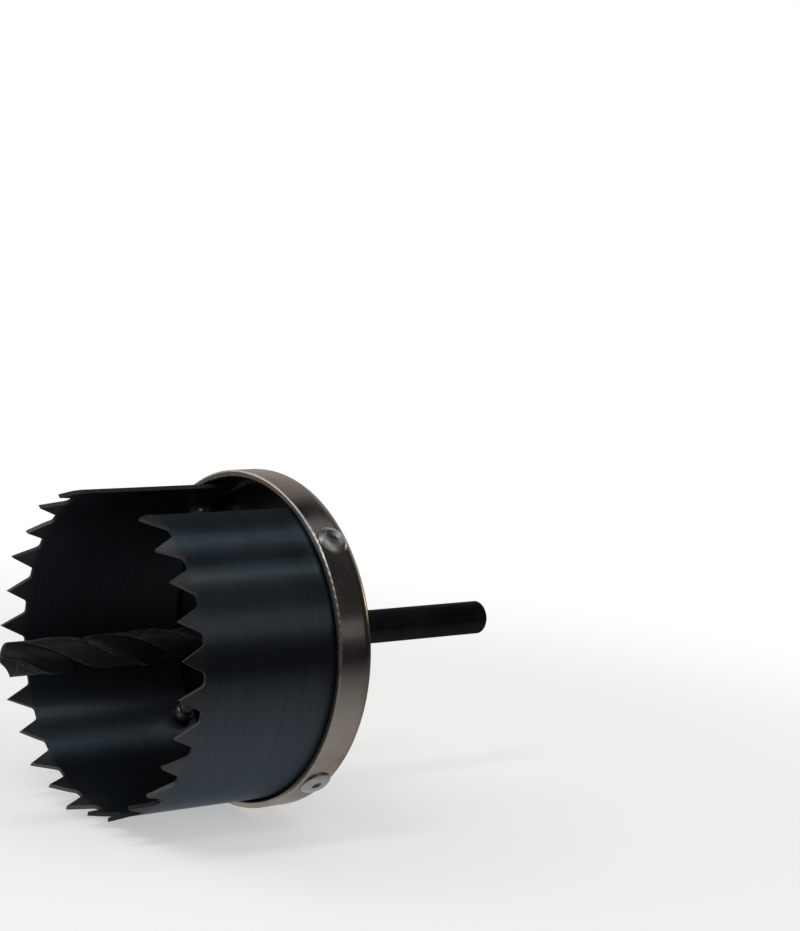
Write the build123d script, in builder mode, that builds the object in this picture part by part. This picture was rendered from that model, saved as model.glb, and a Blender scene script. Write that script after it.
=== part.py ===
from build123d import *
import os
from math import acos, cos, degrees, radians, sin, sqrt, tan

# Hole saw, 74 mm cut: a toothed C-ring of strip steel riveted into a drawn cap,
# which is clamped on an arbor that carries a twist drill as pilot.
#
# Millimetres. The tool lies on its side, with its axis along X: +X runs out of the
# shank, the teeth face -X, and +Z points up through the gap in the band. The origin
# is the middle of the shank's free end. Angles around the axis are in degrees,
# counted from +Z towards -Y, which is a right-handed turn about +X.

# Stations along the axis
COLLAR_END_X = -41.0        # chuck side of the arbor's collar
BOSS_X = -59.8              # outer face of the cap's boss, where the collar bears
CAP_BACK_X = -62.8          # outer face of the cap
CAP_RIM_X = -73.0           # open edge of the cap
TOOTH_TIP_X = -113.0        # plane of the saw's tooth tips
DRILL_TIP_X = -135.0        # point of the pilot drill

# Toothed band
BAND_R = 36.5               # outside radius of the strip
BAND_T = 0.9                # strip thickness
BAND_REAR_X = -65.3         # edge of the strip that sits in the cap
GAP_HALF_ANGLE = 24.5       # half of the opening between the strip's two ends
TOOTH_COUNT = 24
PITCH_COUNT = 27            # pitches in a full circle; the gap takes the missing ones
TOOTH_DEPTH = 6.0
TOOTH_SET = 0.5             # sideways lean of a tooth at its tip
BEND_DEPTH = 5.9            # where the strip starts to bend, measured from the tips
BEND_RUN = 1.0              # from there to the corner that the bend rounds off
BEND_R = 16.0
TIP_FLAT = 0.2
GULLET_FLAT = 2.5
GULLET_R = 1.0

# Cap
CAP_R = 38.6
CAP_T = 1.6
CAP_CORNER_R = 3.5
BOSS_R = 21.0
BOSS_EDGE_R = 0.8
BOSS_FOOT_R = 1.0
RIM_EDGE_R = 0.5

# Blind rivets, 4 mm, that hold the band in the cap
RIVET_ANGLES = (44, 134, 226, 316)
RIVET_X = -68.8
RIVET_R = 2.0
RIVET_HOLE_R = 2.05
RIVET_HEAD_R = 3.6
RIVET_HEAD_H = 1.15
RIVET_BRIM_H = 0.3          # height of the head at its edge
RIVET_RIDGE_R = 2.2         # top of the head, round the dish that the mandrel leaves
RIVET_DISH_DEPTH = 0.35
BULB_FOOT_R = 2.4
BULB_R = 2.75
TAIL_R = 1.9
TAIL_H = 2.9                # from the band's inner face to the end of the tail
PIN_R = 1.1
PIN_DEPTH = 0.8             # from the top of the head down to the broken end
PIN_HEAD_R = 1.8
PIN_HEAD_H = 0.9
PIN_HEAD_EDGE_R = 0.6

# Arbor
COLLAR_R = 9.3
COLLAR_NOSE_R = 7.1         # chuck side of the collar, before its bevel
COLLAR_BEVEL = 2.5
SHANK_R = 4.0
SHANK_CHAMFER = 0.6
SPIGOT_R = 6.0
SPIGOT_END_X = -70.9
BORE_R = 4.05
BORE_END_X = -44.0
TURNED_EDGE_R = 0.4         # small rounding of turned edges
FLAT_DEPTH = 0.25
FLAT_LENGTH = 8.0
FLAT_START_X = -55.0

# Set screw
SCREW_X = -51.0
SCREW_ANGLE = 60.0
SCREW_R = 2.5
SCREW_LENGTH = 4.8
SCREW_CHAMFER = 0.4
SCREW_PLAY = 0.05
SOCKET_R = 1.25
SOCKET_DEPTH = 2.5

# Pilot drill
DRILL_R = 4.0
DRILL_BACK_X = -45.0
DRILL_CHAMFER = 0.6
POINT_ANGLE = 118.0
FLUTE_LEAD = 48.0
FLUTE_START_ANGLE = 97.5
FLUTE_END_X = -81.0         # where the flutes start to run out
FLUTE_R = 2.8
FLUTE_OFFSET = 3.6          # centre of the flute's arc from the drill's axis
WHEEL_R = 20.0              # grinding wheel that leaves the run-out
LAND_R = 3.75               # body clearance behind the margins
MARGIN_ANGLE = 12.0         # part of the land that keeps the full size, at its leading edge
RUNOUT_ANGLE = 60.0         # turn of the wheel that clears the drill's surface

# Lock nut and spring washer
NUT_FLATS = 18.0
NUT_H = 6.0
NUT_CHAMFER = 0.7
NUT_PLAY = 0.02
WASHER_R = 10.5
WASHER_T = 2.5
WASHER_SPLIT = 1.2
WASHER_SPLIT_ANGLE = 20.0
HOLE_PLAY = 0.1

OVERRUN = 1.0               # how far a cut runs past the face it starts or ends at

boss_face_inside = BOSS_X - CAP_T
cap_face_inside = CAP_BACK_X - CAP_T
cap_inner_r = CAP_R - CAP_T
band_inner_r = BAND_R - BAND_T
pitch_angle = 360 / PITCH_COUNT

os.makedirs("parts", exist_ok=True)


def radial_plane(x, angle, distance=0.0):
    """Plane whose normal points outward at an angle around the axis."""
    outward = Vector(0, -sin(radians(angle)), cos(radians(angle)))
    return Plane(origin=Vector(x, 0, 0) + outward * distance, x_dir=(1, 0, 0), z_dir=outward)


# Toothed band: a full ring of strip steel with teeth leaning in and out by turns. Each
# tooth starts as one pitch of a leaning ring; gullets cut through from outside shape it.
with BuildPart() as saw_band:
    bend_start_x = TOOTH_TIP_X + BEND_DEPTH
    bend_x = bend_start_x - BEND_RUN
    with BuildSketch(Plane.XZ):
        with BuildLine():
            Polyline(
                (bend_start_x, band_inner_r),
                (BAND_REAR_X, band_inner_r),
                (BAND_REAR_X, BAND_R),
                (bend_start_x, BAND_R),
                close=True,
            )
        make_face()
    revolve(axis=Axis.X)

    for index in range(TOOTH_COUNT):
        lean = -TOOTH_SET if index % 2 == 0 else TOOTH_SET
        start_angle = -pitch_angle * (index + 2.5)
        with BuildSketch(Plane.XZ.rotated((start_angle, 0, 0))):
            with BuildLine():
                FilletPolyline(
                    (bend_start_x, band_inner_r),
                    (bend_start_x, BAND_R),
                    (bend_x, BAND_R),
                    (TOOTH_TIP_X, BAND_R + lean),
                    (TOOTH_TIP_X, band_inner_r + lean),
                    (bend_x, band_inner_r),
                    radius=[0, 0, BEND_R, 0, 0, BEND_R],
                    close=True,
                )
            make_face()
        revolve(axis=Axis.X, revolution_arc=pitch_angle)

    tip_pitch = 2 * (BAND_R + TOOTH_SET) * tan(radians(pitch_angle / 2))
    half_mouth = (tip_pitch - TIP_FLAT) / 2
    flank_slope = (half_mouth - GULLET_FLAT / 2) / TOOTH_DEPTH
    for index in range(TOOTH_COUNT + 1):
        gullet_angle = -pitch_angle * (index + 1.5)
        with BuildSketch(radial_plane(TOOTH_TIP_X, gullet_angle, BAND_R / 2)) as gullet:
            with BuildLine():
                Polyline(
                    (-OVERRUN, -half_mouth - OVERRUN * flank_slope),
                    (TOOTH_DEPTH, -GULLET_FLAT / 2),
                    (TOOTH_DEPTH, GULLET_FLAT / 2),
                    (-OVERRUN, half_mouth + OVERRUN * flank_slope),
                    close=True,
                )
            make_face()
            fillet(gullet.vertices().group_by(Axis.X)[-1], radius=GULLET_R)
        extrude(amount=BAND_R, mode=Mode.SUBTRACT)

    gap_reach = CAP_R
    gap_side = gap_reach * tan(radians(GAP_HALF_ANGLE))
    with BuildSketch(Plane.YZ.offset(TOOTH_TIP_X - OVERRUN)):
        with BuildLine():
            Polyline((0, 0), (gap_side, gap_reach), (-gap_side, gap_reach), close=True)
        make_face()
    extrude(amount=BAND_REAR_X - TOOTH_TIP_X + 2 * OVERRUN, mode=Mode.SUBTRACT)

    for angle in RIVET_ANGLES:
        with BuildSketch(radial_plane(RIVET_X, angle, BAND_R / 2)):
            Circle(RIVET_HOLE_R)
        extrude(amount=BAND_R, mode=Mode.SUBTRACT)

saw_band.part.label = "saw_band"
export_step(saw_band.part, "parts/saw_band.step")


# Cap: a drawn cup of one sheet, with a round boss pressed out of its back for the arbor.
with BuildPart() as cap:
    inner_corner_r = CAP_CORNER_R - CAP_T
    recess_r = BOSS_R - CAP_T
    cap_hole_r = SPIGOT_R + HOLE_PLAY
    with BuildSketch(Plane.XZ):
        with BuildLine():
            FilletPolyline(
                (BOSS_X, cap_hole_r),
                (BOSS_X, BOSS_R),
                (CAP_BACK_X, BOSS_R),
                (CAP_BACK_X, CAP_R),
                (CAP_RIM_X, CAP_R),
                (CAP_RIM_X, cap_inner_r),
                (cap_face_inside, cap_inner_r),
                (cap_face_inside, recess_r),
                (boss_face_inside, recess_r),
                (boss_face_inside, cap_hole_r),
                radius=[
                    0,
                    BOSS_EDGE_R,
                    BOSS_FOOT_R,
                    CAP_CORNER_R,
                    RIM_EDGE_R,
                    RIM_EDGE_R,
                    inner_corner_r,
                    BOSS_FOOT_R,
                    BOSS_EDGE_R / 2,
                    0,
                ],
                close=True,
            )
        make_face()
    revolve(axis=Axis.X)

    for angle in RIVET_ANGLES:
        with BuildSketch(radial_plane(RIVET_X, angle, CAP_R / 2)):
            Circle(RIVET_HOLE_R)
        extrude(amount=CAP_R, mode=Mode.SUBTRACT)

cap.part.label = "cap"
export_step(cap.part, "parts/cap.step")


# Blind rivets: a domed head that follows the cap, dished round its hole, the body through
# both walls, the bulb drawn up inside the band, and the broken mandrel left in it, whose
# rounded head closes the bulb.
head_top_r = CAP_R + RIVET_HEAD_H
tail_end_r = band_inner_r - TAIL_H
pin_top_r = head_top_r - PIN_DEPTH
wall_middle_r = (CAP_R + band_inner_r) / 2
body_overlap = RIVET_HEAD_H / 2
for number, angle in enumerate(RIVET_ANGLES, start=1):
    side_plane = Plane.XZ.rotated((angle, 0, 0))
    rivet_axis = Axis((RIVET_X, 0, 0), side_plane.y_dir)

    with BuildPart() as rivet:
        with BuildSketch(side_plane):
            with BuildLine():
                dome = ThreePointArc(
                    (RIVET_X + RIVET_HEAD_R, CAP_R + RIVET_BRIM_H),
                    (RIVET_X + (RIVET_HEAD_R + RIVET_RIDGE_R) / 2, head_top_r - RIVET_BRIM_H),
                    (RIVET_X + RIVET_RIDGE_R, head_top_r),
                )
                bulb = ThreePointArc(
                    (RIVET_X + TAIL_R, tail_end_r),
                    (RIVET_X + BULB_R, band_inner_r - TAIL_H / 2),
                    (RIVET_X + BULB_FOOT_R, band_inner_r),
                )
                Polyline(
                    dome @ 1,
                    (RIVET_X + PIN_R, head_top_r - RIVET_DISH_DEPTH),
                    (RIVET_X + PIN_R, tail_end_r),
                    bulb @ 0,
                )
                Polyline(bulb @ 1, (RIVET_X + RIVET_HEAD_R, wall_middle_r), dome @ 0)
            make_face()
        revolve(axis=rivet_axis)

        # The walls of cap and band take up the space between head and bulb
        with BuildSketch(Plane.YZ.offset(RIVET_X - 2 * RIVET_HEAD_R)):
            Circle(CAP_R)
            Circle(band_inner_r, mode=Mode.SUBTRACT)
        extrude(amount=4 * RIVET_HEAD_R, mode=Mode.SUBTRACT)

        with BuildSketch(radial_plane(RIVET_X, angle, band_inner_r - body_overlap)):
            Circle(RIVET_R)
            Circle(PIN_R, mode=Mode.SUBTRACT)
        extrude(amount=CAP_R - band_inner_r + 2 * body_overlap)

    rivet.part.label = f"rivet_{number}"
    export_step(rivet.part, f"parts/rivet_{number}.step")

    with BuildPart() as pin:
        with BuildSketch(side_plane):
            with BuildLine():
                FilletPolyline(
                    (RIVET_X, pin_top_r),
                    (RIVET_X + PIN_R, pin_top_r),
                    (RIVET_X + PIN_R, tail_end_r),
                    (RIVET_X + PIN_HEAD_R, tail_end_r),
                    (RIVET_X + PIN_HEAD_R, tail_end_r - PIN_HEAD_H),
                    (RIVET_X, tail_end_r - PIN_HEAD_H),
                    radius=[0, 0, 0, 0, PIN_HEAD_EDGE_R, 0],
                    close=True,
                )
            make_face()
        revolve(axis=rivet_axis)

    pin.part.label = f"rivet_pin_{number}"
    export_step(pin.part, f"parts/rivet_pin_{number}.step")


# Arbor: shank, collar and the threaded spigot that passes through the cap, in one piece,
# bored from the front for the pilot drill, with three spanner flats on the collar.
with BuildPart() as arbor:
    with BuildSketch(Plane.XZ):
        with BuildLine():
            FilletPolyline(
                (BORE_END_X, 0),
                (0, 0),
                (0, SHANK_R - SHANK_CHAMFER),
                (-SHANK_CHAMFER, SHANK_R),
                (COLLAR_END_X, SHANK_R),
                (COLLAR_END_X, COLLAR_NOSE_R),
                (COLLAR_END_X - COLLAR_BEVEL, COLLAR_R),
                (BOSS_X, COLLAR_R),
                (BOSS_X, SPIGOT_R),
                (SPIGOT_END_X, SPIGOT_R),
                (SPIGOT_END_X, BORE_R),
                (BORE_END_X, BORE_R),
                radius=[
                    0,
                    0,
                    TURNED_EDGE_R,
                    TURNED_EDGE_R,
                    TURNED_EDGE_R,
                    TURNED_EDGE_R,
                    2 * TURNED_EDGE_R,
                    TURNED_EDGE_R,
                    0,
                    TURNED_EDGE_R,
                    TURNED_EDGE_R,
                    0,
                ],
                close=True,
            )
        make_face()
    revolve(axis=Axis.X)

    flat_middle_x = FLAT_START_X + FLAT_LENGTH / 2
    for angle in (SCREW_ANGLE, SCREW_ANGLE + 120, SCREW_ANGLE + 240):
        with BuildSketch(radial_plane(flat_middle_x, angle, COLLAR_R - FLAT_DEPTH)):
            Rectangle(FLAT_LENGTH, 2 * COLLAR_R)
        extrude(amount=OVERRUN, mode=Mode.SUBTRACT)

    with BuildSketch(radial_plane(SCREW_X, SCREW_ANGLE)):
        Circle(SCREW_R)
    extrude(amount=COLLAR_R + OVERRUN, mode=Mode.SUBTRACT)

arbor.part.label = "arbor"
export_step(arbor.part, "parts/arbor.step")


# Set screw: grips the drill from the side of the collar, turned by its hexagon socket.
with BuildPart() as set_screw:
    with BuildSketch(radial_plane(SCREW_X, SCREW_ANGLE, DRILL_R)):
        Circle(SCREW_R - SCREW_PLAY)
    extrude(amount=SCREW_LENGTH)
    chamfer(set_screw.edges().filter_by(GeomType.CIRCLE), length=SCREW_CHAMFER)
    with BuildSketch(radial_plane(SCREW_X, SCREW_ANGLE, DRILL_R + SCREW_LENGTH)):
        RegularPolygon(SOCKET_R, 6, major_radius=False)
    extrude(amount=-SOCKET_DEPTH, mode=Mode.SUBTRACT)

set_screw.part.label = "set_screw"
export_step(set_screw.part, "parts/set_screw.step")


# Pilot drill: a two-flute twist drill. Sections are swept straight along the axis while a
# helix turns them: an arc for each flute, and behind each land's margin a thin ring
# segment for the body clearance. At its end the grinding wheel lifts out of the flute.
with BuildPart() as pilot_drill:
    point_length = DRILL_R / tan(radians(POINT_ANGLE / 2))
    with BuildSketch(Plane.XZ):
        with BuildLine():
            Polyline(
                (DRILL_TIP_X, 0),
                (DRILL_TIP_X + point_length, DRILL_R),
                (DRILL_BACK_X - DRILL_CHAMFER, DRILL_R),
                (DRILL_BACK_X, DRILL_R - DRILL_CHAMFER),
                (DRILL_BACK_X, 0),
                close=True,
            )
        make_face()
    revolve(axis=Axis.X)

    # Half the angle that a flute takes out of the drill's outer circle
    flute_half_angle = degrees(
        acos((DRILL_R**2 + FLUTE_OFFSET**2 - FLUTE_R**2) / (2 * DRILL_R * FLUTE_OFFSET))
    )

    sweep_start_x = DRILL_TIP_X - OVERRUN
    sweep_plane = Plane.YZ.offset(sweep_start_x)
    flute_length = FLUTE_END_X - sweep_start_x
    with BuildLine(mode=Mode.PRIVATE) as drill_axis:
        Line((sweep_start_x, 0, 0), (FLUTE_END_X, 0, 0))
    with BuildLine(mode=Mode.PRIVATE) as turn:
        Helix(FLUTE_LEAD, flute_length, DRILL_R, center=(sweep_start_x, 0, 0), direction=(1, 0, 0))

    for flute_angle in (FLUTE_START_ANGLE, FLUTE_START_ANGLE + 180):
        with BuildSketch(sweep_plane):
            with PolarLocations(FLUTE_OFFSET, 1, start_angle=flute_angle):
                Circle(FLUTE_R)
        sweep(path=drill_axis.line, binormal=turn.line.edge(), mode=Mode.SUBTRACT)

        end_angle = flute_angle + 360 * flute_length / FLUTE_LEAD
        lift_plane = Plane.XZ.rotated((end_angle - 90, 0, 0))
        wheel_centre = Vector(FLUTE_END_X, 0, 0) + lift_plane.y_dir * (FLUTE_OFFSET + WHEEL_R)
        with BuildSketch(Plane.YZ.offset(FLUTE_END_X)):
            with PolarLocations(FLUTE_OFFSET, 1, start_angle=end_angle):
                Circle(FLUTE_R)
        wheel_axis = Axis(wheel_centre, lift_plane.z_dir)
        revolve(axis=wheel_axis, revolution_arc=RUNOUT_ANGLE, mode=Mode.SUBTRACT)

        clearance_start = flute_angle + flute_half_angle + MARGIN_ANGLE
        clearance_arc = flute_angle + 180 - clearance_start
        with BuildSketch(sweep_plane):
            with BuildLine():
                inner_arc = CenterArc((0, 0), LAND_R, clearance_start, clearance_arc)
                outer_arc = CenterArc((0, 0), DRILL_R + OVERRUN, clearance_start, clearance_arc)
                Line(inner_arc @ 0, outer_arc @ 0)
                Line(inner_arc @ 1, outer_arc @ 1)
            make_face()
        sweep(path=drill_axis.line, binormal=turn.line.edge(), mode=Mode.SUBTRACT)

pilot_drill.part.label = "pilot_drill"
export_step(pilot_drill.part, "parts/pilot_drill.step")


# Lock nut and spring washer: they draw the cap back against the collar.
washer_x = boss_face_inside
nut_x = washer_x - WASHER_T
with BuildPart() as spring_washer:
    with BuildSketch(Plane.YZ.offset(washer_x)):
        Circle(WASHER_R)
        Circle(SPIGOT_R + HOLE_PLAY, mode=Mode.SUBTRACT)
        with Locations(((WASHER_R + SPIGOT_R) / 2, 0)):
            Rectangle(WASHER_R, WASHER_SPLIT, rotation=WASHER_SPLIT_ANGLE, mode=Mode.SUBTRACT)
    extrude(amount=-WASHER_T)

spring_washer.part.label = "spring_washer"
export_step(spring_washer.part, "parts/spring_washer.step")

with BuildPart() as lock_nut:
    nut_corner_r = NUT_FLATS / sqrt(3)
    with BuildSketch(Plane.YZ.offset(nut_x)):
        RegularPolygon(NUT_FLATS / 2, 6, major_radius=False)
        Circle(SPIGOT_R + NUT_PLAY, mode=Mode.SUBTRACT)
    extrude(amount=-NUT_H)
    with BuildSketch(Plane.XZ):
        with BuildLine():
            Polyline(
                (nut_x, SPIGOT_R),
                (nut_x, NUT_FLATS / 2),
                (nut_x - NUT_CHAMFER, nut_corner_r),
                (nut_x - NUT_H + NUT_CHAMFER, nut_corner_r),
                (nut_x - NUT_H, NUT_FLATS / 2),
                (nut_x - NUT_H, SPIGOT_R),
                close=True,
            )
        make_face()
    revolve(axis=Axis.X, mode=Mode.INTERSECT)

lock_nut.part.label = "lock_nut"
export_step(lock_nut.part, "parts/lock_nut.step")
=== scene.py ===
from math import cos, pi, radians, sin

import bmesh
import bpy
from bpy.props import FloatProperty, FloatVectorProperty, PointerProperty
from bpy.types import Operator, Panel, PropertyGroup
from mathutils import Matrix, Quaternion, Vector


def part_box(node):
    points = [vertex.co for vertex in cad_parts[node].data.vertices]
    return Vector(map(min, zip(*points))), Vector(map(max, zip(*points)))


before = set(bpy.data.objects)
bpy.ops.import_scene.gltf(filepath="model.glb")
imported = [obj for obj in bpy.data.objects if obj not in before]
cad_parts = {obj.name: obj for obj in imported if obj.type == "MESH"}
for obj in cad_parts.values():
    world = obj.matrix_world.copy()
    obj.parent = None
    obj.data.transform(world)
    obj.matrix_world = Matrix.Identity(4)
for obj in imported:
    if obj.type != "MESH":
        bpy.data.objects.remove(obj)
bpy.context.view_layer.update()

bl_info = {
    "name": "Hole Saw",
    "version": (1, 1, 0),
    "blender": (4, 5, 0),
    "location": "View3D > Sidebar > Hole Saw",
    "description": "Finishes the parts of a hole saw and builds the studio around it",
    "category": "Object",
}

# The tool's axis is the X axis: the teeth point to -X and the shank to +X
BAND_LOW, BAND_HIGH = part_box("saw_band")
CAP_LOW, CAP_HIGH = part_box("cap")
FLOOR_HEIGHT = CAP_LOW.z
TOOL_MIDDLE = (BAND_LOW + CAP_HIGH) / 2

# Colours of the light
WHITE = (1.0, 1.0, 1.0)
AMBER = (1.0, 0.82, 0.55)
FAINT_GREEN = (0.95, 1.0, 0.98)
TEAL = (0.84, 0.96, 1.0)
SKY = (0.84, 0.94, 1.0)
LILAC = (0.84, 0.90, 1.0)


# ---------------------------------------------------------------------------
# Sizes and colours
# ---------------------------------------------------------------------------

class StripProperties(PropertyGroup):
    """Finish of the toothed band."""

    colour: FloatVectorProperty(
        name="Blued steel", description="Colour of the blued strip",
        subtype="COLOR", default=(0.066, 0.082, 0.098), min=0, max=1)
    tooth_colour: FloatVectorProperty(
        name="Teeth", description="Colour of the teeth, which the setting has rubbed",
        subtype="COLOR", default=(0.105, 0.098, 0.104), min=0, max=1)
    bare_colour: FloatVectorProperty(
        name="Bare steel", description="Colour where the punch has cut through the blueing",
        subtype="COLOR", default=(0.20, 0.185, 0.17), min=0, max=1)
    roughness: FloatProperty(
        name="Roughness", description="Roughness of the rolled surface", default=0.31, min=0, max=1)
    metal: FloatProperty(
        name="Metal", description="How much of the surface is bare metal under the oil film",
        default=0.93, min=0, max=1)
    brushing: FloatProperty(
        name="Brushing", description="How much the brushing stretches reflections along the axis",
        default=0.93, min=0, max=1)
    brush_density: FloatProperty(
        name="Brush lines", description="Brush lines per metre along the axis", default=7000)
    brush_depth: FloatProperty(
        name="Brush depth", description="Depth of the brush lines",
        default=0.000005, unit="LENGTH", precision=7)
    tooth_zone: FloatProperty(
        name="Tooth zone", description="How far the rubbed colour reaches from the tips",
        default=0.0066, unit="LENGTH")
    tooth_fade: FloatProperty(
        name="Tooth fade", description="Distance over which that colour fades out",
        default=0.0020, unit="LENGTH")
    tooth_edge: FloatProperty(
        name="Tooth edges", description="How bare the cut edges of the teeth are",
        default=0.85, min=0, max=1)
    cut_edge: FloatProperty(
        name="Cut edges", description="How bare the other cut edges of the strip are",
        default=0.25, min=0, max=1)
    pit_depth: FloatProperty(
        name="Pit depth", description="Depth of the pits", default=0.000008, unit="LENGTH", precision=7)
    grazing_tint: FloatVectorProperty(
        name="Grazing tint", description="Tint of reflections at a grazing angle",
        subtype="COLOR", default=(0.45, 0.47, 0.50), min=0, max=1)


class CapProperties(PropertyGroup):
    """Finish of the plated cap."""

    colour: FloatVectorProperty(
        name="Nickel", description="Colour of the nickel plate",
        subtype="COLOR", default=(0.46, 0.405, 0.36), min=0, max=1)
    stain_colour: FloatVectorProperty(
        name="Stain", description="Colour where the plate is stained brown",
        subtype="COLOR", default=(0.24, 0.175, 0.130), min=0, max=1)
    tint_colour: FloatVectorProperty(
        name="Tint", description="Colour of the faint purple tint",
        subtype="COLOR", default=(0.33, 0.285, 0.33), min=0, max=1)
    # Dark colour of the pits, and painted shade on the wall faces that face the axis
    pit_and_inside_shade_colour: FloatVectorProperty(
        name="Inside", description="Colour inside, where the plate is thin and grimy",
        subtype="COLOR", default=(0.15, 0.135, 0.125), min=0, max=1)
    roughness: FloatProperty(
        name="Roughness", description="Roughness of the clean plate", default=0.17, min=0, max=1)
    peel_depth: FloatProperty(
        name="Orange peel", description="Depth of the waves left by drawing",
        default=0.000012, unit="LENGTH", precision=7)
    line_depth: FloatProperty(
        name="Draw lines", description="Depth of the lines left by drawing",
        default=0.0000025, unit="LENGTH", precision=7)
    pit_depth: FloatProperty(
        name="Pit depth", description="Depth of the pits", default=0.00001, unit="LENGTH", precision=7)
    # The lip is rougher all round, and on its top it also carries a painted highlight
    lip_width: FloatProperty(
        name="Lip", description="Width of the rubbed lip at the open end",
        default=0.0006, unit="LENGTH", precision=5)
    lip_fade: FloatProperty(
        name="Lip fade", description="Distance over which the lip's finish fades in",
        default=0.0004, unit="LENGTH", precision=5)
    grazing_tint: FloatVectorProperty(
        name="Grazing tint", description="Tint of reflections at a grazing angle",
        subtype="COLOR", default=(0.62, 0.60, 0.58), min=0, max=1)


class BlackProperties(PropertyGroup):
    """Finish of the arbor, drill and screw."""

    colour: FloatVectorProperty(
        name="Black oxide", description="Colour of the black oxide",
        subtype="COLOR", default=(0.022, 0.022, 0.024), min=0, max=1)
    worn_colour: FloatVectorProperty(
        name="Worn steel", description="Colour of the steel that shows on rubbed edges",
        subtype="COLOR", default=(0.20, 0.185, 0.18), min=0, max=1)
    arbor_roughness: FloatProperty(
        name="Arbor roughness", description="Roughness of the turned arbor", default=0.40, min=0, max=1)
    drill_roughness: FloatProperty(
        name="Drill roughness", description="Roughness of the ground drill", default=0.34, min=0, max=1)
    drill_metal: FloatProperty(
        name="Drill metal", description="How much of the drill is metal under its dull oxide",
        default=0.45, min=0, max=1)
    line_density: FloatProperty(
        name="Turning lines", description="Turning lines per metre along the axis", default=6000)
    line_depth: FloatProperty(
        name="Line depth", description="Depth of the turning lines",
        default=0.000005, unit="LENGTH", precision=7)
    grazing_tint: FloatVectorProperty(
        name="Grazing tint", description="Tint of reflections at a grazing angle",
        subtype="COLOR", default=(0.50, 0.50, 0.52), min=0, max=1)


class RivetProperties(PropertyGroup):
    """Finish of the rivets and their mandrels."""

    colour: FloatVectorProperty(
        name="Aluminium", description="Colour of the rivets",
        subtype="COLOR", default=(0.52, 0.52, 0.52), min=0, max=1)
    mandrel_colour: FloatVectorProperty(
        name="Mandrel", description="Colour of the broken mandrel",
        subtype="COLOR", default=(0.34, 0.33, 0.31), min=0, max=1)
    roughness: FloatProperty(
        name="Roughness", description="Roughness of the heads", default=0.30, min=0, max=1)
    mandrel_roughness: FloatProperty(
        name="Mandrel roughness", description="Roughness of the mandrels", default=0.38, min=0, max=1)


class FastenerProperties(PropertyGroup):
    """Finish of the lock nut and its spring washer."""

    nut_colour: FloatVectorProperty(
        name="Nut", description="Colour of the nut's zinc plate",
        subtype="COLOR", default=(0.40, 0.40, 0.38), min=0, max=1)
    nut_roughness: FloatProperty(
        name="Nut roughness", description="Roughness of the zinc plate", default=0.36, min=0, max=1)
    washer_colour: FloatVectorProperty(
        name="Washer", description="Colour of the spring steel",
        subtype="COLOR", default=(0.20, 0.20, 0.21), min=0, max=1)
    washer_roughness: FloatProperty(
        name="Washer roughness", description="Roughness of the spring steel", default=0.42, min=0, max=1)


class StudioProperties(PropertyGroup):
    """Floor, light and background."""

    floor_colour: FloatVectorProperty(
        name="Floor", description="Colour of the floor around the tool",
        subtype="COLOR", default=(0.78, 0.77, 0.75), min=0, max=1)
    floor_roughness: FloatProperty(
        name="Floor roughness", description="Roughness of the floor", default=0.9, min=0, max=1)
    floor_radius: FloatProperty(
        name="Floor radius", description="Radius of the floor", default=6.0, unit="LENGTH")
    shadow_radius: FloatProperty(
        name="Shadow", description="How far out the camera sees the tool's shadow on the floor",
        default=0.30, unit="LENGTH")
    floor_lift: FloatProperty(
        name="Lift", description="What brings the floor up to white for the camera",
        default=0.42, min=0, max=1)
    pool_level: FloatProperty(
        name="Pool", description="How bright the floor is in metal right under the tool",
        default=0.70, min=0, max=1)
    pool_reach: FloatProperty(
        name="Pool reach", description="Distance over which that brightness falls to a third",
        default=0.115, unit="LENGTH")
    fill_level: FloatProperty(
        name="Fill", description="Even light from all round", default=0.35, min=0, max=2)
    ceiling_level: FloatProperty(
        name="Ceiling", description="How bright the room is in reflections", default=0.022, min=0, max=1)
    glow_level: FloatProperty(
        name="Backdrop", description="How bright the backdrop behind the tool is in reflections",
        default=0.62, min=0, max=1)
    glow_heading: FloatProperty(
        name="Backdrop heading", description="Heading of the backdrop from +X towards +Y",
        default=radians(48.0), subtype="ANGLE")
    glow_outer: FloatProperty(
        name="Backdrop edge", description="Angle from its middle at which the backdrop begins",
        default=radians(53.13), subtype="ANGLE")
    glow_inner: FloatProperty(
        name="Backdrop core", description="Angle from its middle at which it is at its brightest",
        default=radians(30.68), subtype="ANGLE")


class CameraProperties(PropertyGroup):
    """Camera that looks along the teeth towards the cap."""

    azimuth: FloatProperty(
        name="Azimuth", description="Heading of the view from +X towards +Y",
        default=radians(50.12), subtype="ANGLE")
    descent: FloatProperty(
        name="Descent", description="How far the view points below level",
        default=radians(8.69), subtype="ANGLE")
    roll: FloatProperty(
        name="Roll", description="Lean of the camera to its left",
        default=radians(4.88), subtype="ANGLE")
    distance: FloatProperty(
        name="Distance", description="From the camera to the point it aims at",
        default=0.6053, unit="LENGTH")
    focal_length: FloatProperty(
        name="Focal length", description="Focal length on a sensor 36 mm wide",
        default=115.02, unit="CAMERA")
    aim: FloatVectorProperty(
        name="Aim", description="Point in the plane of the tool's axis that the camera aims at",
        subtype="TRANSLATION", default=(-0.02893, 0.0, 0.03878))


# ---------------------------------------------------------------------------
# Shader building
# ---------------------------------------------------------------------------

def add_node(tree, kind, **settings):
    """Add a shader node and set its options."""
    node = tree.nodes.new(kind)
    for option, value in settings.items():
        setattr(node, option, value)
    return node


def plug(tree, socket, value):
    """Link a socket to another node's output, or give it a plain value."""
    if isinstance(value, bpy.types.NodeSocket):
        tree.links.new(value, socket)
    else:
        socket.default_value = value


def calculate(tree, operation, *values, clamp=False):
    """Math node on up to three values or sockets."""
    node = add_node(tree, "ShaderNodeMath", operation=operation, use_clamp=clamp)
    for socket, value in zip(node.inputs, values):
        plug(tree, socket, value)
    return node.outputs["Value"]


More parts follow.
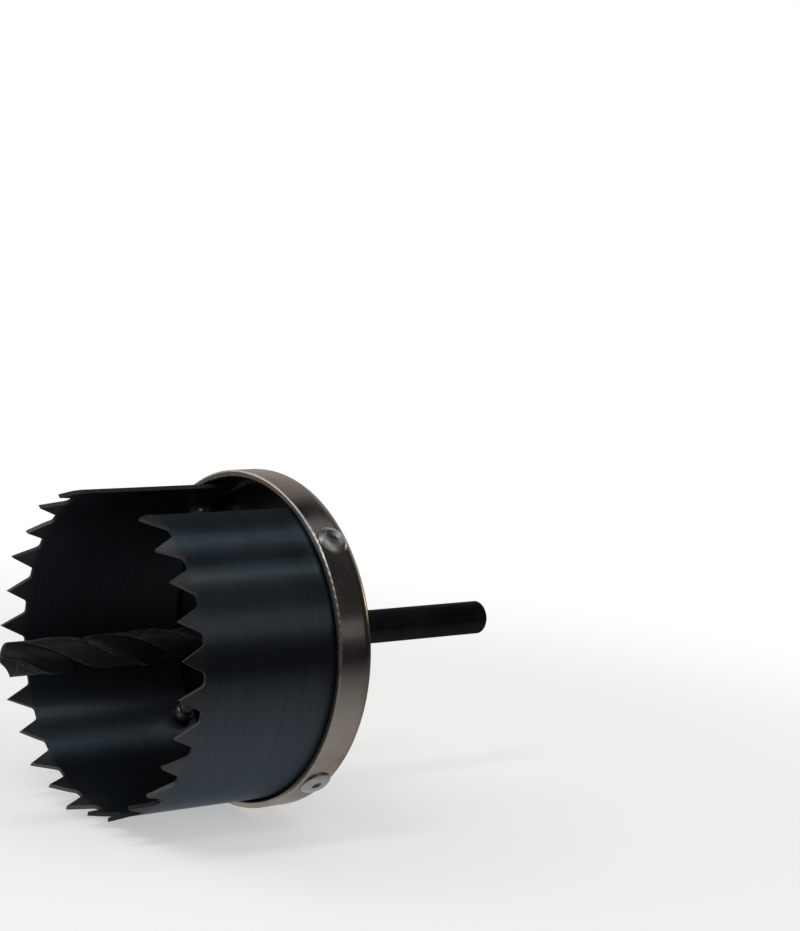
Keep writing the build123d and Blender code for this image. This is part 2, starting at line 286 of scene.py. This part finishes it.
def remap(tree, value, low, high, new_low=0.0, new_high=1.0, curve="SMOOTHSTEP"):
    """Map Range node from one span to another, clamped at both ends."""
    node = add_node(tree, "ShaderNodeMapRange", interpolation_type=curve)
    plug(tree, node.inputs["Value"], value)
    plug(tree, node.inputs["From Min"], low)
    plug(tree, node.inputs["From Max"], high)
    plug(tree, node.inputs["To Min"], new_low)
    plug(tree, node.inputs["To Max"], new_high)
    return node.outputs["Result"]


def mix_colour(tree, factor, first, second):
    """Mix two colours by a factor."""
    node = add_node(tree, "ShaderNodeMix", data_type="RGBA")
    plug(tree, node.inputs["Factor"], factor)
    colours = [socket for socket in node.inputs if socket.type == "RGBA"]
    for socket, colour in zip(colours, (first, second)):
        plug(tree, socket, colour if isinstance(colour, bpy.types.NodeSocket) else (*colour, 1.0))
    return next(socket for socket in node.outputs if socket.type == "RGBA")


def lay_over(tree, colour, mask, mark, strength=1.0):
    """A colour with another laid over it where a mask is, at most to a given strength."""
    if strength < 1.0:
        mask = calculate(tree, "MULTIPLY", mask, strength)
    return mix_colour(tree, mask, colour, mark)


def raise_by(tree, value, mask, most):
    """A value raised where a mask is, at most by a given amount."""
    return calculate(tree, "MULTIPLY_ADD", mask, most, value)


def shade(colour, factor):
    """A colour made darker or lighter."""
    return tuple(min(1.0, factor * channel) for channel in colour)


def dot(tree, first, second):
    """Dot product of two vectors."""
    node = add_node(tree, "ShaderNodeVectorMath", operation="DOT_PRODUCT")
    plug(tree, node.inputs[0], first)
    plug(tree, node.inputs[1], second)
    return node.outputs["Value"]


def noise(tree, vector, scale, detail=2.0, roughness=0.5):
    """Noise texture's value at a position."""
    node = add_node(tree, "ShaderNodeTexNoise")
    plug(tree, node.inputs["Vector"], vector)
    plug(tree, node.inputs["Scale"], scale)
    node.inputs["Detail"].default_value = detail
    node.inputs["Roughness"].default_value = roughness
    return node.outputs["Fac"]


def add_emission(tree, strength):
    """White emission of a given strength."""
    node = add_node(tree, "ShaderNodeEmission")
    plug(tree, node.inputs["Strength"], strength)
    return node.outputs["Emission"]


def add_background(tree, strength):
    """White background of a given strength."""
    node = add_node(tree, "ShaderNodeBackground")
    node.inputs["Color"].default_value = (*WHITE, 1.0)
    plug(tree, node.inputs["Strength"], strength)
    return node.outputs["Background"]


def add_shaders(tree, first, second):
    """The sum of two shaders."""
    node = add_node(tree, "ShaderNodeAddShader")
    tree.links.new(first, node.inputs[0])
    tree.links.new(second, node.inputs[1])
    return node.outputs["Shader"]


def mix_shaders(tree, factor, first, second):
    """One shader, or the other where the factor is 1."""
    node = add_node(tree, "ShaderNodeMixShader")
    plug(tree, node.inputs["Fac"], factor)
    tree.links.new(first, node.inputs[1])
    tree.links.new(second, node.inputs[2])
    return node.outputs["Shader"]


def start_group(name, inputs, outputs):
    """Begin a node group with float inputs {name: default} and outputs [names]."""
    tree = bpy.data.node_groups.new(name, "ShaderNodeTree")
    for label, default in inputs.items():
        socket = tree.interface.new_socket(label, in_out="INPUT", socket_type="NodeSocketFloat")
        socket.default_value = default
    for label in outputs:
        tree.interface.new_socket(label, in_out="OUTPUT", socket_type="NodeSocketFloat")
    entry = add_node(tree, "NodeGroupInput")
    end = add_node(tree, "NodeGroupOutput")
    return tree, entry.outputs, end.inputs


def place_group(tree, group, **values):
    """Add a node group to a material; underscores in the names stand for spaces."""
    node = add_node(tree, "ShaderNodeGroup", node_tree=group)
    for label, value in values.items():
        plug(tree, node.inputs[label.replace("_", " ").capitalize()], value)
    return node.outputs


def object_position(tree):
    """Object coordinates, in metres from the shank's end."""
    return add_node(tree, "ShaderNodeTexCoord").outputs["Object"]


def axis_position(tree):
    """Station along the tool's axis, angle around it and distance from it.

    The angle jumps at the top, where the band has its gap.
    """
    parts = add_node(tree, "ShaderNodeSeparateXYZ")
    plug(tree, parts.inputs["Vector"], object_position(tree))
    along, side, height = parts.outputs
    angle = calculate(tree, "ARCTAN2", side, calculate(tree, "MULTIPLY", height, -1.0))
    side_squared = calculate(tree, "MULTIPLY", side, side)
    height_squared = calculate(tree, "MULTIPLY", height, height)
    radius = calculate(tree, "SQRT", calculate(tree, "ADD", side_squared, height_squared))
    return along, angle, radius


def axis_direction(tree):
    """The direction of the tool's axis, along which a finish brushed around it spreads light."""
    node = add_node(tree, "ShaderNodeVectorTransform", vector_type="VECTOR")
    node.convert_from = "OBJECT"
    node.convert_to = "WORLD"
    plug(tree, node.inputs["Vector"], (1.0, 0.0, 0.0))
    return node.outputs["Vector"]


# ---------------------------------------------------------------------------
# Effects that the materials share
# ---------------------------------------------------------------------------

def make_turned_lines():
    """Group: fine lines that run around the axis, as turning and brushing leave them."""
    tree, values, results = start_group(
        "Turned lines", {"Density": 6000.0, "Length": 2.0}, ["Height", "Streaks"])
    along, angle, radius = axis_position(tree)
    where = add_node(tree, "ShaderNodeCombineXYZ")
    plug(tree, where.inputs["X"], calculate(tree, "MULTIPLY", along, values["Density"]))
    plug(tree, where.inputs["Y"], calculate(tree, "MULTIPLY", angle, values["Length"]))
    plug(tree, where.inputs["Z"], calculate(tree, "MULTIPLY", radius, values["Density"]))
    fine = noise(tree, where.outputs["Vector"], scale=1.0, roughness=0.6)
    broad = noise(tree, where.outputs["Vector"], scale=0.21)
    plug(tree, results["Height"], fine)
    plug(tree, results["Streaks"], remap(tree, broad, low=0.3, high=0.7))
    return tree


def make_edge_wear():
    """Group: mask that is 1 on sharp outer edges, broken up where handling has missed them."""
    tree, values, results = start_group(
        "Edge wear", {"Width": 0.0004, "Amount": 1.0, "Patch size": 250.0}, ["Mask"])
    bevel = add_node(tree, "ShaderNodeBevel", samples=6)
    plug(tree, bevel.inputs["Radius"], values["Width"])
    surface = add_node(tree, "ShaderNodeNewGeometry")
    turn = dot(tree, bevel.outputs["Normal"], surface.outputs["Normal"])
    edge = remap(tree, turn, low=0.995, high=0.88, curve="LINEAR")
    patches = noise(tree, object_position(tree), values["Patch size"], detail=4.0, roughness=0.6)
    broken = remap(tree, patches, low=0.36, high=0.60)
    mask = calculate(tree, "MULTIPLY", edge, broken)
    plug(tree, results["Mask"], calculate(tree, "MULTIPLY", mask, values["Amount"], clamp=True))
    return tree


def make_handling():
    """Group: faint smears, and short scratches that cross each other."""
    tree, values, results = start_group(
        "Handling", {"Smear size": 60.0, "Scratch size": 900.0}, ["Smears", "Scratches"])
    position = object_position(tree)
    smears = noise(tree, position, values["Smear size"], detail=5.0, roughness=0.55)
    plug(tree, results["Smears"], remap(tree, smears, low=0.34, high=0.68))
    layers = []
    for turn in (0.5, 1.9):
        mapping = add_node(tree, "ShaderNodeMapping")
        plug(tree, mapping.inputs["Vector"], position)
        mapping.inputs["Rotation"].default_value = (turn, 0.7 * turn, 1.3 * turn)
        mapping.inputs["Scale"].default_value = (1.0, 0.03, 0.4)
        lines = noise(tree, mapping.outputs["Vector"], values["Scratch size"])
        layers.append(remap(tree, lines, low=0.68, high=0.73))
    plug(tree, results["Scratches"], calculate(tree, "MAXIMUM", *layers))
    return tree


def make_pits():
    """Group: mask of small pits and specks, in a share of the cells of a cell pattern."""
    tree, values, results = start_group("Pits", {"Per metre": 600.0, "Share": 0.2}, ["Mask"])
    cells = add_node(tree, "ShaderNodeTexVoronoi")
    plug(tree, cells.inputs["Vector"], object_position(tree))
    plug(tree, cells.inputs["Scale"], values["Per metre"])
    pick = add_node(tree, "ShaderNodeSeparateColor")
    plug(tree, pick.inputs["Color"], cells.outputs["Color"])
    chosen = calculate(tree, "LESS_THAN", pick.outputs["Red"], values["Share"])
    size = remap(tree, pick.outputs["Green"], 0.0, 1.0, new_low=0.07, new_high=0.20, curve="LINEAR")
    spot = remap(tree, cells.outputs["Distance"], low=size, high=0.0)
    plug(tree, results["Mask"], calculate(tree, "MULTIPLY", chosen, spot))
    return tree


def make_cut_edge():
    """Group: masks of the faces that cut through a rolled sheet, and of those that face the axis."""
    tree, values, results = start_group(
        "Cut edge", {"Limit": 0.75, "Softness": 0.12}, ["Mask", "Inner side"])
    parts = add_node(tree, "ShaderNodeSeparateXYZ")
    plug(tree, parts.inputs["Vector"], object_position(tree))
    outward = add_node(tree, "ShaderNodeCombineXYZ")
    plug(tree, outward.inputs["Y"], parts.outputs["Y"])
    plug(tree, outward.inputs["Z"], parts.outputs["Z"])
    unit = add_node(tree, "ShaderNodeVectorMath", operation="NORMALIZE")
    plug(tree, unit.inputs[0], outward.outputs["Vector"])
    normal = add_node(tree, "ShaderNodeTexCoord").outputs["Normal"]
    facing = dot(tree, unit.outputs["Vector"], normal)
    full = calculate(tree, "SUBTRACT", values["Limit"], values["Softness"])
    size = calculate(tree, "ABSOLUTE", facing)
    plug(tree, results["Mask"], remap(tree, size, values["Limit"], full))
    plug(tree, results["Inner side"], remap(tree, facing, low=-0.2, high=-0.7))
    return tree


def shared_groups():
    """The node groups that the materials share, built once."""
    builders = {
        "Turned lines": ("lines", make_turned_lines),
        "Edge wear": ("wear", make_edge_wear),
        "Handling": ("handling", make_handling),
        "Pits": ("pits", make_pits),
        "Cut edge": ("cut", make_cut_edge),
    }
    groups = {}
    for name, (key, build) in builders.items():
        groups[key] = bpy.data.node_groups.get(name) or build()
    return groups


# ---------------------------------------------------------------------------
# Materials
# ---------------------------------------------------------------------------

def bump(tree, height, depth, normal=None):
    """Bump node whose height of 1 stands for a depth in metres."""
    node = add_node(tree, "ShaderNodeBump")
    plug(tree, node.inputs["Height"], height)
    node.inputs["Distance"].default_value = depth
    if normal is not None:
        plug(tree, node.inputs["Normal"], normal)
    return node.outputs["Normal"]


def start_material(name, metallic=1.0):
    """Begin a material; gives its tree and its Principled shader's inputs."""
    material = bpy.data.materials.new(name)
    material.use_nodes = True
    tree = material.node_tree
    tree.nodes.clear()
    shader = add_node(tree, "ShaderNodeBsdfPrincipled")
    shader.inputs["Metallic"].default_value = metallic
    surface = add_node(tree, "ShaderNodeOutputMaterial")
    tree.links.new(shader.outputs["BSDF"], surface.inputs["Surface"])
    return material, tree, shader.inputs


def give(material, *nodes):
    """Put a material in the slots of CAD nodes."""
    for node in nodes:
        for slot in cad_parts[node].material_slots:
            slot.material = material


def make_strip_material(finish, groups):
    """Blued strip steel: brushed around the band, rubbed at the teeth, bare where it was punched."""
    material, tree, shader = start_material("Blued strip")
    lines = place_group(tree, groups["lines"], density=finish.brush_density, length=5.0)
    edge = place_group(tree, groups["cut"])["Mask"]
    wear = place_group(tree, groups["wear"], width=0.00025, amount=0.45)["Mask"]
    marks = place_group(tree, groups["handling"], smear_size=45.0)
    pits = place_group(tree, groups["pits"], per_metre=420.0, share=0.10)["Mask"]
    along = axis_position(tree)[0]

    strip = mix_colour(tree, lines["Streaks"], shade(finish.colour, 0.90), shade(finish.colour, 1.08))
    strip = lay_over(tree, strip, marks["Smears"], shade(finish.colour, 1.25), strength=0.25)
    tips = BAND_LOW.x + finish.tooth_zone
    teeth = remap(tree, along, tips, tips - finish.tooth_fade)
    strip = lay_over(tree, strip, teeth, finish.tooth_colour, strength=0.75)
    strip = lay_over(tree, strip, pits, shade(finish.colour, 0.4), strength=0.5)
    rubbed = raise_by(tree, finish.cut_edge, teeth, most=finish.tooth_edge - finish.cut_edge)
    bare = calculate(tree, "MAXIMUM", calculate(tree, "MULTIPLY", edge, rubbed), wear)
    plug(tree, shader["Base Color"], mix_colour(tree, bare, strip, finish.bare_colour))

    roughness = raise_by(tree, finish.roughness, marks["Smears"], most=0.06)
    roughness = raise_by(tree, roughness, teeth, most=0.08)
    plug(tree, shader["Roughness"], raise_by(tree, roughness, edge, most=0.14))
    brushed = bump(tree, lines["Height"], finish.brush_depth)
    plug(tree, shader["Normal"], bump(tree, pits, -finish.pit_depth, brushed))
    shader["Specular Tint"].default_value = (*finish.grazing_tint, 1.0)
    shader["Metallic"].default_value = finish.metal
    shader["Anisotropic"].default_value = finish.brushing
    plug(tree, shader["Tangent"], axis_direction(tree))
    return material


def make_cap_material(finish, groups):
    """Nickel plate on a drawn sheet: bright, a little wavy, with brown stains, a duller inner wall in
    painted shade, and a painted highlight on the top of its lip.
    """
    material, tree, shader = start_material("Nickel plate")
    position = object_position(tree)
    lines = place_group(tree, groups["lines"], density=2600.0, length=1.2)
    inside = place_group(tree, groups["cut"])["Inner side"]
    parts = add_node(tree, "ShaderNodeSeparateXYZ")
    plug(tree, parts.inputs["Vector"], position)
    lip_end = CAP_LOW.x + finish.lip_width
    lip = remap(tree, parts.outputs["X"], lip_end, lip_end - finish.lip_fade)
    # Mask rising towards the top of the cap, where the lip's painted highlight goes
    painted_highlight_top = remap(tree, parts.outputs["Z"], low=-0.006, high=0.010)
    marks = place_group(tree, groups["handling"], smear_size=70.0, scratch_size=1400.0)
    pits = place_group(tree, groups["pits"], per_metre=520.0, share=0.16)["Mask"]
    wear = place_group(tree, groups["wear"], width=0.0005, amount=0.6, patch_size=160.0)["Mask"]
    stains = noise(tree, position, scale=34.0, detail=4.0, roughness=0.6)
    stains = remap(tree, stains, low=0.42, high=0.70)
    tints = remap(tree, noise(tree, position, scale=21.0), low=0.45, high=0.65)

    colour = lay_over(tree, finish.colour, tints, finish.tint_colour, strength=0.9)
    colour = lay_over(tree, colour, stains, finish.stain_colour, strength=0.85)
    colour = lay_over(tree, colour, pits, finish.pit_and_inside_shade_colour, strength=0.6)
    colour = lay_over(tree, colour, wear, shade(finish.colour, 1.5))
    # Painted highlight: the lip is painted much lighter on its top side, where light catches it
    rubbed = calculate(tree, "MULTIPLY", lip, painted_highlight_top)
    colour = lay_over(tree, colour, rubbed, shade(finish.colour, 2.1))
    # Painted shade: the wall faces that face the axis are painted dark, which darkens the slot between
    # band and lip
    plug(tree, shader["Base Color"], lay_over(tree, colour, inside, finish.pit_and_inside_shade_colour))

    roughness = raise_by(tree, finish.roughness, marks["Smears"], most=0.10)
    roughness = raise_by(tree, roughness, marks["Scratches"], most=0.10)
    roughness = raise_by(tree, roughness, lip, most=0.16)
    plug(tree, shader["Roughness"], raise_by(tree, roughness, inside, most=0.18))

    wavy = bump(tree, noise(tree, position, scale=260.0), finish.peel_depth)
    drawn = bump(tree, lines["Height"], finish.line_depth, wavy)
    plug(tree, shader["Normal"], bump(tree, pits, -finish.pit_depth, drawn))
    shader["Specular Tint"].default_value = (*finish.grazing_tint, 1.0)
    return material


def make_black_material(name, finish, groups, roughness, density, wear_amount, metal=1.0):
    """Black oxide on turned or ground steel, rubbed bright along its edges."""
    material, tree, shader = start_material(name)
    lines = place_group(tree, groups["lines"], density=density, length=0.6)
    wear = place_group(tree, groups["wear"], width=0.0003, amount=wear_amount)["Mask"]
    marks = place_group(tree, groups["handling"], smear_size=110.0)
    pits = place_group(tree, groups["pits"], per_metre=900.0, share=0.18)["Mask"]

    oxide = lay_over(tree, finish.colour, lines["Streaks"], shade(finish.colour, 1.35))
    oxide = lay_over(tree, oxide, marks["Smears"], shade(finish.colour, 1.6))
    oxide = lay_over(tree, oxide, pits, finish.worn_colour, strength=0.4)
    plug(tree, shader["Base Color"], lay_over(tree, oxide, wear, finish.worn_colour))
    plug(tree, shader["Roughness"], raise_by(tree, roughness, marks["Smears"], most=0.12))
    plug(tree, shader["Normal"], bump(tree, lines["Height"], finish.line_depth))
    shader["Metallic"].default_value = metal
    shader["Specular Tint"].default_value = (*finish.grazing_tint, 1.0)
    return material


def make_rivet_material(finish, groups):
    """Bright aluminium with small dents and grey smears."""
    material, tree, shader = start_material("Rivet aluminium")
    marks = place_group(tree, groups["handling"], smear_size=260.0)
    pits = place_group(tree, groups["pits"], per_metre=1500.0, share=0.25)["Mask"]
    colour = lay_over(tree, finish.colour, marks["Smears"], shade(finish.colour, 0.80))
    colour = lay_over(tree, colour, pits, finish.mandrel_colour, strength=0.5)
    plug(tree, shader["Base Color"], colour)
    plug(tree, shader["Roughness"], raise_by(tree, finish.roughness, marks["Smears"], most=0.12))
    dents = noise(tree, object_position(tree), scale=1300.0)
    plug(tree, shader["Normal"], bump(tree, dents, depth=0.000012))
    return material


def make_steel_material(name, colour, roughness, groups):
    """Zinc plated or bare steel with a fine grain."""
    material, tree, shader = start_material(name)
    marks = place_group(tree, groups["handling"], smear_size=200.0)
    wear = place_group(tree, groups["wear"], width=0.0003, amount=0.7)["Mask"]
    smeared = lay_over(tree, colour, marks["Smears"], shade(colour, 0.65))
    plug(tree, shader["Base Color"], lay_over(tree, smeared, wear, shade(colour, 1.6)))
    plug(tree, shader["Roughness"], raise_by(tree, roughness, marks["Smears"], most=0.15))
    grain = noise(tree, object_position(tree), scale=2500.0, detail=3.0)
    plug(tree, shader["Normal"], bump(tree, grain, depth=0.00001))
    return material


def make_floor_material(studio):
    """Pale floor: white for the camera but for the tool's shadow, and a pool of light in metal."""
    material, tree, shader = start_material("Floor", metallic=0.0)
    plug(tree, shader["Base Color"], (*studio.floor_colour, 1.0))
    shader["Roughness"].default_value = studio.floor_roughness
    shader["Specular IOR Level"].default_value = 0.0
    parts = add_node(tree, "ShaderNodeSeparateXYZ")
    plug(tree, parts.inputs["Vector"], object_position(tree))
    across = calculate(tree, "SUBTRACT", parts.outputs["X"], TOOL_MIDDLE.x)
    squares = [calculate(tree, "MULTIPLY", value, value) for value in (across, parts.outputs["Y"])]
    distance = calculate(tree, "SQRT", calculate(tree, "ADD", *squares))
    far = remap(tree, distance, 0.5 * studio.shadow_radius, studio.shadow_radius)
    fall = calculate(tree, "EXPONENT", calculate(tree, "DIVIDE", distance, -studio.pool_reach))
    pool = calculate(tree, "MULTIPLY_ADD", fall, studio.pool_level, studio.ceiling_level / 2)

    plain = tree.nodes["Principled BSDF"].outputs["BSDF"]
    rays = add_node(tree, "ShaderNodeLightPath").outputs
    in_metal = calculate(tree, "MAXIMUM", rays["Is Glossy Ray"], rays["Is Transmission Ray"])
    lit = add_shaders(tree, plain, add_emission(tree, studio.floor_lift))
    for_camera = mix_shaders(tree, far, lit, add_emission(tree, 1.0))
    seen = mix_shaders(tree, in_metal, plain, add_emission(tree, pool))
    seen = mix_shaders(tree, rays["Is Camera Ray"], seen, for_camera)
    tree.links.new(seen, tree.nodes["Material Output"].inputs["Surface"])
    return material


def make_world(studio):
    """World: white for the camera, even fill light, and in metal a room with a pale backdrop."""
    world = bpy.data.worlds.new("Studio")
    world.use_nodes = True
    tree = world.node_tree
    tree.nodes.clear()
    rays = add_node(tree, "ShaderNodeLightPath").outputs
    heading = add_node(tree, "ShaderNodeTexCoord").outputs["Generated"]
    behind = (cos(studio.glow_heading), sin(studio.glow_heading), 0.0)
    facing = dot(tree, heading, behind)
    reflected = remap(
        tree, facing, cos(studio.glow_outer), cos(studio.glow_inner),
        studio.ceiling_level, studio.glow_level)
    in_metal = calculate(tree, "MAXIMUM", rays["Is Glossy Ray"], rays["Is Transmission Ray"])
    fill, room = add_background(tree, studio.fill_level), add_background(tree, reflected)
    seen = mix_shaders(tree, in_metal, fill, room)
    seen = mix_shaders(tree, rays["Is Camera Ray"], seen, add_background(tree, 1.0))
    tree.links.new(seen, add_node(tree, "ShaderNodeOutputWorld").inputs["Surface"])
    return world


# ---------------------------------------------------------------------------
# Lamps
# ---------------------------------------------------------------------------

def hang_lamp(name, place, turn, size, radiance, colour):
    """Hang a rectangular lamp; its radiance is how bright it is in a mirror."""
    lamp = bpy.data.lights.new(name, "AREA")
    lamp.shape = "RECTANGLE"
    lamp.size, lamp.size_y = size
    lamp.energy = radiance * lamp.size * lamp.size_y * pi
    lamp.color = colour
    holder = bpy.data.objects.new(name, lamp)
    holder.location = place
    holder.rotation_mode = "QUATERNION"
    holder.rotation_quaternion = turn
    bpy.context.scene.collection.objects.link(holder)


def hang_softbox(name, heading, height, reach, size, radiance, colour=WHITE):
    """Hang a lamp that faces the tool, given by its heading and height in degrees."""
    level = cos(radians(height))
    toward = Vector((level * cos(radians(heading)), level * sin(radians(heading)), sin(radians(height))))
    turn = toward.to_track_quat("Z", "Y")
    hang_lamp(name, TOOL_MIDDLE + reach * toward, turn, size, radiance, colour)


def hang_tube(name, lean, reach, ahead, size, radiance, colour=WHITE):
    """Hang a long lamp along the tool's axis, leaning from straight above towards -Y in degrees."""
    turn = Quaternion((1.0, 0.0, 0.0), radians(lean))
    place = turn @ Vector((0.0, 0.0, reach))
    place.x = ahead
    hang_lamp(name, place, turn, size, radiance, colour)


# ---------------------------------------------------------------------------
# Operators
# ---------------------------------------------------------------------------

class HOLESAW_OT_band(Operator):
    """Finish the toothed band in blued steel"""

    bl_idname = "holesaw.band"
    bl_label = "Band"

    def execute(self, context):
        give(make_strip_material(context.scene.holesaw_strip, shared_groups()), "saw_band")
        return {"FINISHED"}


class HOLESAW_OT_cap(Operator):
    """Finish the cap in nickel plate"""

    bl_idname = "holesaw.cap"
    bl_label = "Cap"

    def execute(self, context):
        give(make_cap_material(context.scene.holesaw_cap, shared_groups()), "cap")
        return {"FINISHED"}


class HOLESAW_OT_arbor(Operator):
    """Finish the arbor and its set screw in black oxide"""

    bl_idname = "holesaw.arbor"
    bl_label = "Arbor"

    def execute(self, context):
        finish = context.scene.holesaw_black
        material = make_black_material(
            "Black arbor", finish, shared_groups(), roughness=finish.arbor_roughness,
            density=finish.line_density, wear_amount=0.8)
        give(material, "arbor", "set_screw")
        return {"FINISHED"}


class HOLESAW_OT_drill(Operator):
    """Finish the pilot drill, whose ground margins show lighter"""

    bl_idname = "holesaw.drill"
    bl_label = "Pilot drill"

    def execute(self, context):
        finish = context.scene.holesaw_black
        material = make_black_material(
            "Black drill", finish, shared_groups(), roughness=finish.drill_roughness,
            density=0.5 * finish.line_density, wear_amount=0.9, metal=finish.drill_metal)
        give(material, "pilot_drill")
        return {"FINISHED"}


class HOLESAW_OT_rivets(Operator):
    """Finish the rivets in aluminium and their mandrels in steel"""

    bl_idname = "holesaw.rivets"
    bl_label = "Rivets"

    def execute(self, context):
        finish = context.scene.holesaw_rivet
        groups = shared_groups()
        names = sorted(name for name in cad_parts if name.startswith("rivet_"))
        mandrels = [name for name in names if name.startswith("rivet_pin")]
        give(make_rivet_material(finish, groups), *(name for name in names if name not in mandrels))
        steel = make_steel_material(
            "Mandrel steel", finish.mandrel_colour, finish.mandrel_roughness, groups)
        give(steel, *mandrels)
        return {"FINISHED"}


class HOLESAW_OT_fasteners(Operator):
    """Finish the lock nut and its spring washer"""

    bl_idname = "holesaw.fasteners"
    bl_label = "Nut and washer"

    def execute(self, context):
        finish = context.scene.holesaw_fasteners
        groups = shared_groups()
        nut = make_steel_material("Zinc nut", finish.nut_colour, finish.nut_roughness, groups)
        give(nut, "lock_nut")
        washer = make_steel_material(
            "Spring steel", finish.washer_colour, finish.washer_roughness, groups)
        give(washer, "spring_washer")
        return {"FINISHED"}


class HOLESAW_OT_stage(Operator):
    """Lay the floor and set the world around the tool"""

    bl_idname = "holesaw.stage"
    bl_label = "Floor and world"

    def execute(self, context):
        studio = context.scene.holesaw_studio
        sheet = bmesh.new()
        bmesh.ops.create_circle(sheet, cap_ends=True, segments=96, radius=studio.floor_radius)
        bmesh.ops.translate(sheet, verts=sheet.verts, vec=(0.0, 0.0, FLOOR_HEIGHT))
        mesh = bpy.data.meshes.new("floor")
        sheet.to_mesh(mesh)
        sheet.free()
        mesh.materials.append(make_floor_material(studio))
        floor = bpy.data.objects.new("floor", mesh)
        context.scene.collection.objects.link(floor)
        context.scene.world = make_world(studio)
        return {"FINISHED"}


class HOLESAW_OT_lamps(Operator):
    """Hang soft lamps round the tool and tubes along it"""

    bl_idname = "holesaw.lamps"
    bl_label = "Lamps"

    def execute(self, context):
        hang_softbox("key", heading=-97.0, height=42.0, reach=1.1, size=(1.0, 0.9), radiance=0.28)
        hang_softbox("card", heading=-51.0, height=12.0, reach=1.0, size=(0.30, 0.15), radiance=0.21)
        hang_softbox(
            "rim", heading=6.0, height=5.0, reach=1.2, size=(0.20, 0.12), radiance=4.5, colour=AMBER)
        hang_softbox("back", heading=125.0, height=35.0, reach=1.1, size=(1.0, 0.9), radiance=0.8)
        hang_tube(
            "tube_front", lean=34.0, reach=0.413, ahead=-0.02, size=(0.26, 0.034), radiance=2.6,
            colour=FAINT_GREEN)
        hang_tube(
            "tube_back", lean=7.8, reach=0.390, ahead=-0.30, size=(0.25, 0.050), radiance=6.0,
            colour=TEAL)
        hang_tube(
            "tube_top", lean=7.8, reach=0.390, ahead=-0.02, size=(0.31, 0.050), radiance=0.85,
            colour=SKY)
        hang_tube(
            "tube_cap", lean=3.5, reach=0.390, ahead=0.22, size=(0.16, 0.100), radiance=0.42,
            colour=LILAC)
        hang_tube(
            "tube_side", lean=66.0, reach=0.436, ahead=0.0, size=(0.20, 0.110), radiance=0.90)
        return {"FINISHED"}


class HOLESAW_OT_camera(Operator):
    """Place the camera"""

    bl_idname = "holesaw.camera"
    bl_label = "Camera"

    def execute(self, context):
        view = context.scene.holesaw_camera
        level = cos(view.descent)
        ahead = Vector((level * cos(view.azimuth), level * sin(view.azimuth), -sin(view.descent)))
        lens = bpy.data.cameras.new("camera")
        lens.sensor_fit = "HORIZONTAL"
        lens.sensor_width = 36.0
        lens.lens = view.focal_length
        lens.clip_start = 0.01
        holder = bpy.data.objects.new("camera", lens)
        holder.location = Vector(view.aim) - view.distance * ahead
        holder.rotation_mode = "QUATERNION"
        upright = ahead.to_track_quat("-Z", "Y")
        holder.rotation_quaternion = upright @ Quaternion((0.0, 0.0, 1.0), view.roll)
        context.scene.collection.objects.link(holder)
        context.scene.camera = holder
        context.scene.view_settings.view_transform = "Standard"
        return {"FINISHED"}


class HOLESAW_PT_panel(Panel):
    """Lists the steps that finish the hole saw"""

    bl_idname = "HOLESAW_PT_panel"
    bl_label = "Hole Saw"
    bl_space_type = "VIEW_3D"
    bl_region_type = "UI"
    bl_category = "Hole Saw"

    def draw(self, context):
        for step in OPERATORS:
            self.layout.operator(step.bl_idname)
        for name, group in PROPERTIES.items():
            box = self.layout.box()
            settings = getattr(context.scene, name)
            for option in group.__annotations__:
                box.prop(settings, option)


PROPERTIES = {
    "holesaw_strip": StripProperties,
    "holesaw_cap": CapProperties,
    "holesaw_black": BlackProperties,
    "holesaw_rivet": RivetProperties,
    "holesaw_fasteners": FastenerProperties,
    "holesaw_studio": StudioProperties,
    "holesaw_camera": CameraProperties,
}
OPERATORS = (
    HOLESAW_OT_band,
    HOLESAW_OT_cap,
    HOLESAW_OT_arbor,
    HOLESAW_OT_drill,
    HOLESAW_OT_rivets,
    HOLESAW_OT_fasteners,
    HOLESAW_OT_stage,
    HOLESAW_OT_lamps,
    HOLESAW_OT_camera,
)


def register():
    for name, group in PROPERTIES.items():
        bpy.utils.register_class(group)
        setattr(bpy.types.Scene, name, PointerProperty(type=group))
    for operator in OPERATORS:
        bpy.utils.register_class(operator)
    bpy.utils.register_class(HOLESAW_PT_panel)


def unregister():
    bpy.utils.unregister_class(HOLESAW_PT_panel)
    for operator in reversed(OPERATORS):
        bpy.utils.unregister_class(operator)
    for name, group in PROPERTIES.items():
        delattr(bpy.types.Scene, name)
        bpy.utils.unregister_class(group)


def main():
    register()
    bpy.ops.holesaw.band()
    bpy.ops.holesaw.cap()
    bpy.ops.holesaw.arbor()
    bpy.ops.holesaw.drill()
    bpy.ops.holesaw.rivets()
    bpy.ops.holesaw.fasteners()
    bpy.ops.holesaw.stage()
    bpy.ops.holesaw.lamps()
    bpy.ops.holesaw.camera()


if __name__ == "__main__":
    main()
